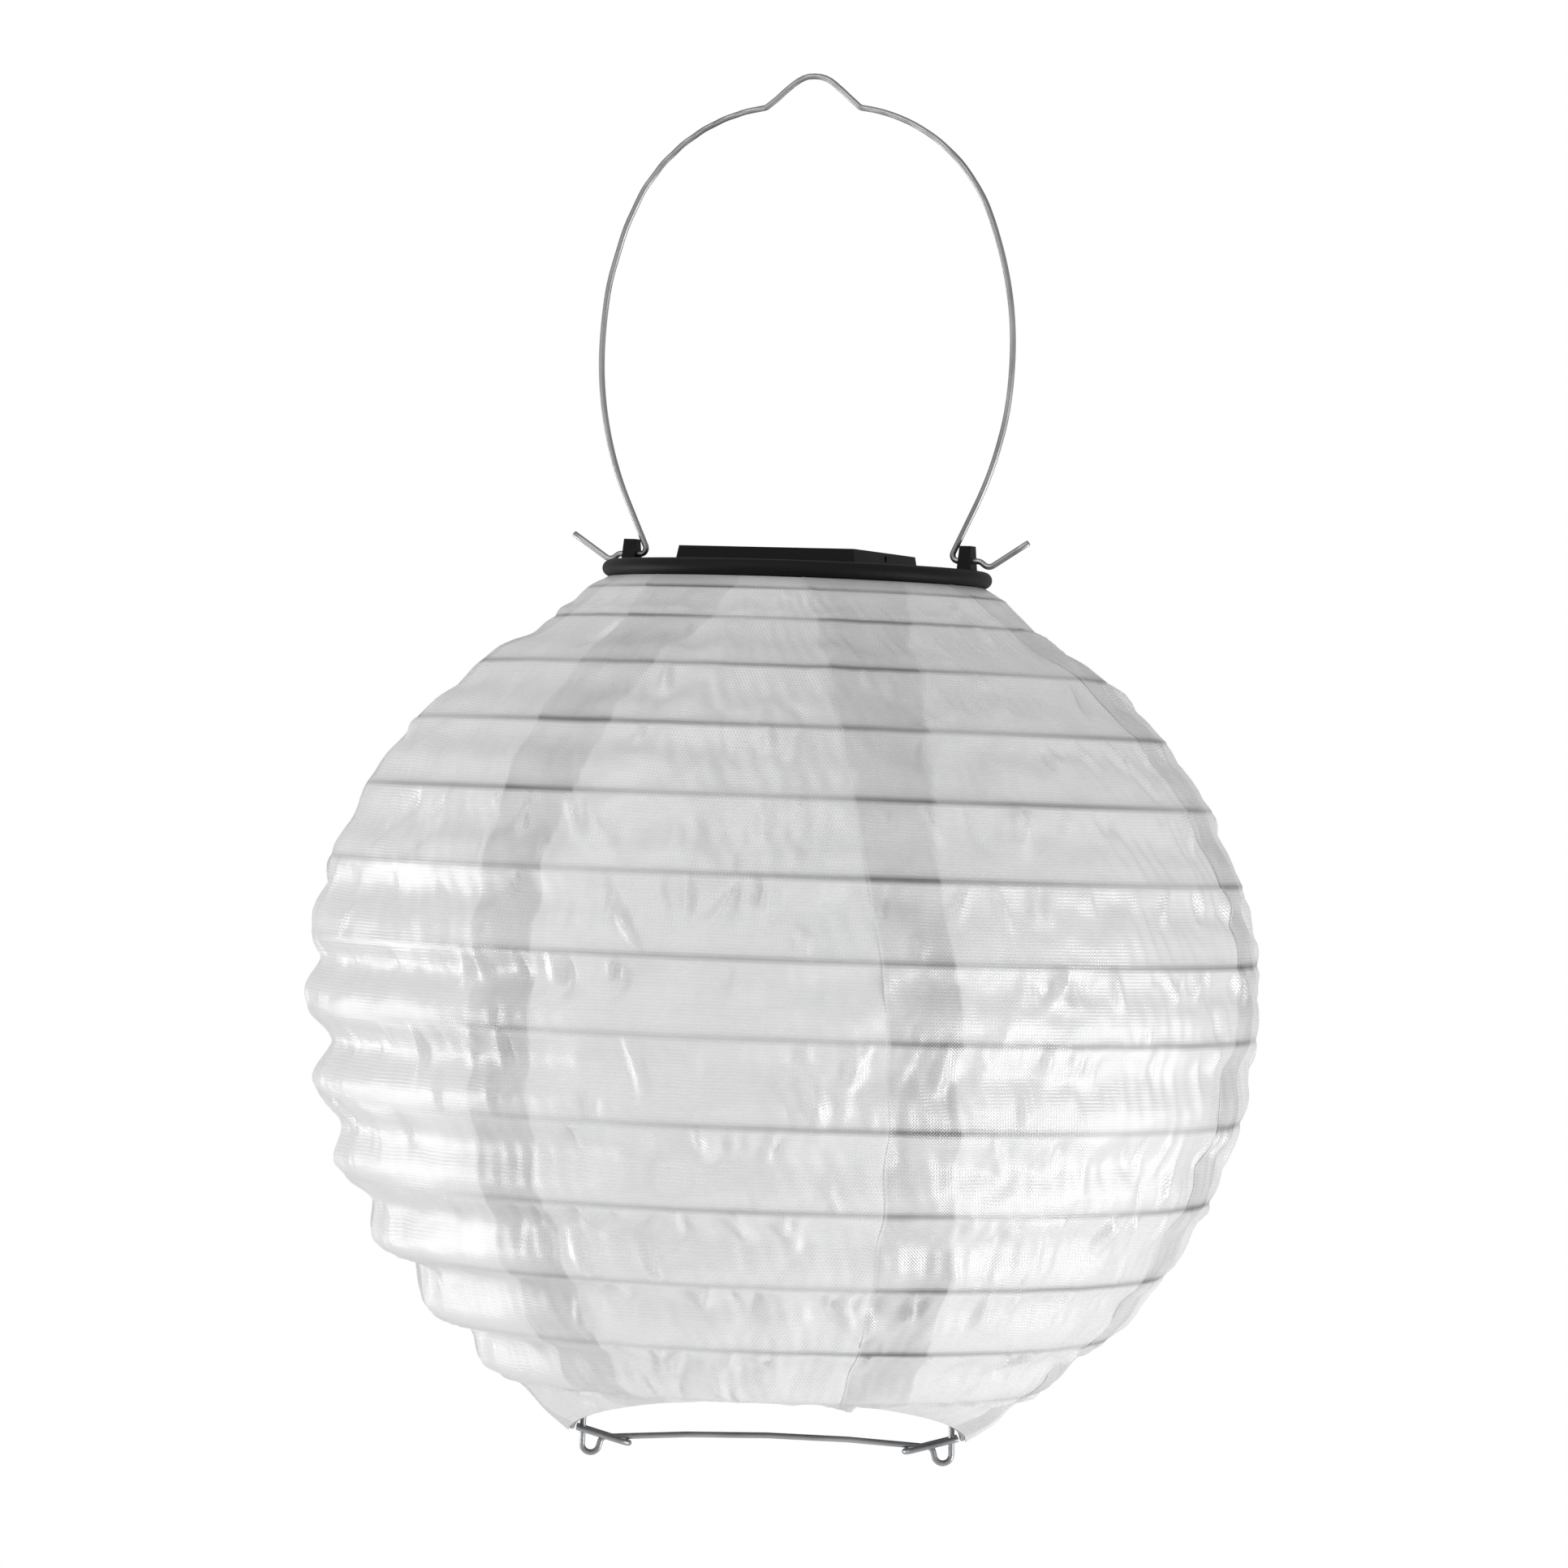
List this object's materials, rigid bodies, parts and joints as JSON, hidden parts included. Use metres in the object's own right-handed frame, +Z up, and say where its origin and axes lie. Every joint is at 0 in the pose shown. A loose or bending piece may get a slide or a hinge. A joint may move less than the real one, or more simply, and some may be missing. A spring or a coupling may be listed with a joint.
{
  "type": "accordion solar lantern",
  "caption": "White woven-nylon accordion globe lantern with a black solar cap, wire bail handle and wire expander frame.",
  "frame": {"origin": "hang point, on the inner side of the wire at the bail's crown", "axes": "+Z up along the lantern's axis, +X along the pin axis of the two bail lugs, Y completes the right-handed frame"},
  "size_m": [0.257, 0.257, 0.3739],
  "materials": {
    "wire": "satin",
    "black_plastic": "matte",
    "solar": "gloss",
    "glaze": "clear",
    "board": "satin",
    "lamp": "gloss",
    "mirror_metal": "polished",
    "diffuser": "frosted",
    "cell_jacket": "gloss",
    "contacts": "plated",
    "screw_steel": "satin",
    "grey_plastic": "matte",
    "white_plastic": "matte",
    "lead_red": "matte",
    "lead_black": "matte",
    "lead_blue": "matte",
    "nylon": "woven, slight sheen",
    "hoop_wire": "satin"
  },
  "bodies": {
    "bail": {"bail_handle": "wire"},
    "cap": {"cap_shell": "black_plastic", "solar_cell": "solar", "panel_glaze": "glaze", "base_plate": "black_plastic", "base_screw_1": "screw_steel", "base_screw_2": "screw_steel", "base_screw_3": "screw_steel", "base_screw_4": "screw_steel", "circuit_board": "board", "led": "lamp", "led_reflector": "mirror_metal", "led_lens": "diffuser", "battery": "cell_jacket", "contact_spring": "contacts", "contact_plate": "contacts", "battery_door": "black_plastic", "door_screw": "screw_steel", "switch_body": "grey_plastic", "panel_leads": "lead_red", "battery_leads": "lead_black", "switch_leads": "lead_blue", "gore_1": "nylon", "gore_2": "nylon", "gore_3": "nylon", "gore_4": "nylon", "gore_5": "nylon", "gore_6": "nylon", "gore_7": "nylon", "hoop_0": "hoop_wire"},
    "hem": {"hem_wire": "wire"},
    "expander": {"expander_wire": "wire", "hem_clip_left": "wire", "hem_clip_right": "wire"},
    "knob": {"switch_knob": "white_plastic"},
    "hoop_1_body": {"hoop_1": "hoop_wire"},
    "hoop_2_body": {"hoop_2": "hoop_wire"},
    "hoop_3_body": {"hoop_3": "hoop_wire"},
    "hoop_4_body": {"hoop_4": "hoop_wire"},
    "hoop_5_body": {"hoop_5": "hoop_wire"},
    "hoop_6_body": {"hoop_6": "hoop_wire"},
    "hoop_7_body": {"hoop_7": "hoop_wire"},
    "hoop_8_body": {"hoop_8": "hoop_wire"},
    "hoop_9_body": {"hoop_9": "hoop_wire"},
    "hoop_10_body": {"hoop_10": "hoop_wire"},
    "hoop_11_body": {"hoop_11": "hoop_wire"},
    "hoop_12_body": {"hoop_12": "hoop_wire"}
  },
  "joints": [
    {"name": "bail_swing", "type": "hinge", "parent": "bail", "child": "cap", "pos_m": [0, 0, -0.1289], "axis": [1, 0, 0], "range_deg": [-94, 94]},
    {"name": "shade_fold", "type": "slide", "parent": "cap", "child": "hem", "axis": [0, 0, 1], "range_m": [0, 0.199], "deforming": ["gore_1", "gore_2", "gore_3", "gore_4", "gore_5", "gore_6", "gore_7"]},
    {"name": "hoop_1_rise", "type": "slide", "parent": "cap", "child": "hoop_1_body", "axis": [0, 0, 1], "range_m": [0, 0.0072]},
    {"name": "hoop_2_rise", "type": "slide", "parent": "cap", "child": "hoop_2_body", "axis": [0, 0, 1], "range_m": [0, 0.0183]},
    {"name": "hoop_3_rise", "type": "slide", "parent": "cap", "child": "hoop_3_body", "axis": [0, 0, 1], "range_m": [0, 0.032]},
    {"name": "hoop_4_rise", "type": "slide", "parent": "cap", "child": "hoop_4_body", "axis": [0, 0, 1], "range_m": [0, 0.0478]},
    {"name": "hoop_5_rise", "type": "slide", "parent": "cap", "child": "hoop_5_body", "axis": [0, 0, 1], "range_m": [0, 0.0653]},
    {"name": "hoop_6_rise", "type": "slide", "parent": "cap", "child": "hoop_6_body", "axis": [0, 0, 1], "range_m": [0, 0.0837]},
    {"name": "hoop_7_rise", "type": "slide", "parent": "cap", "child": "hoop_7_body", "axis": [0, 0, 1], "range_m": [0, 0.1013]},
    {"name": "hoop_8_rise", "type": "slide", "parent": "cap", "child": "hoop_8_body", "axis": [0, 0, 1], "range_m": [0, 0.121]},
    {"name": "hoop_9_rise", "type": "slide", "parent": "cap", "child": "hoop_9_body", "axis": [0, 0, 1], "range_m": [0, 0.1399]},
    {"name": "hoop_10_rise", "type": "slide", "parent": "cap", "child": "hoop_10_body", "axis": [0, 0, 1], "range_m": [0, 0.1573]},
    {"name": "hoop_11_rise", "type": "slide", "parent": "cap", "child": "hoop_11_body", "axis": [0, 0, 1], "range_m": [0, 0.1727]},
    {"name": "hoop_12_rise", "type": "slide", "parent": "cap", "child": "hoop_12_body", "axis": [0, 0, 1], "range_m": [0, 0.1857]},
    {"name": "expander_draw", "type": "slide", "parent": "cap", "child": "expander", "axis": [0, 0, -1], "range_m": [0, 0.245]},
    {"name": "switch_slide", "type": "slide", "parent": "cap", "child": "knob", "axis": [1, 0, 0], "range_m": [0, 0.004]}
  ],
  "couplings": [
    {"joint": "hoop_1_rise", "follows": "shade_fold", "ratio": 0.03526},
    {"joint": "hoop_2_rise", "follows": "shade_fold", "ratio": 0.09123},
    {"joint": "hoop_3_rise", "follows": "shade_fold", "ratio": 0.15995},
    {"joint": "hoop_4_rise", "follows": "shade_fold", "ratio": 0.23955},
    {"joint": "hoop_5_rise", "follows": "shade_fold", "ratio": 0.3272},
    {"joint": "hoop_6_rise", "follows": "shade_fold", "ratio": 0.41991},
    {"joint": "hoop_7_rise", "follows": "shade_fold", "ratio": 0.50814},
    {"joint": "hoop_8_rise", "follows": "shade_fold", "ratio": 0.60732},
    {"joint": "hoop_9_rise", "follows": "shade_fold", "ratio": 0.70213},
    {"joint": "hoop_10_rise", "follows": "shade_fold", "ratio": 0.78963},
    {"joint": "hoop_11_rise", "follows": "shade_fold", "ratio": 0.86705},
    {"joint": "hoop_12_rise", "follows": "shade_fold", "ratio": 0.9322}
  ]
}
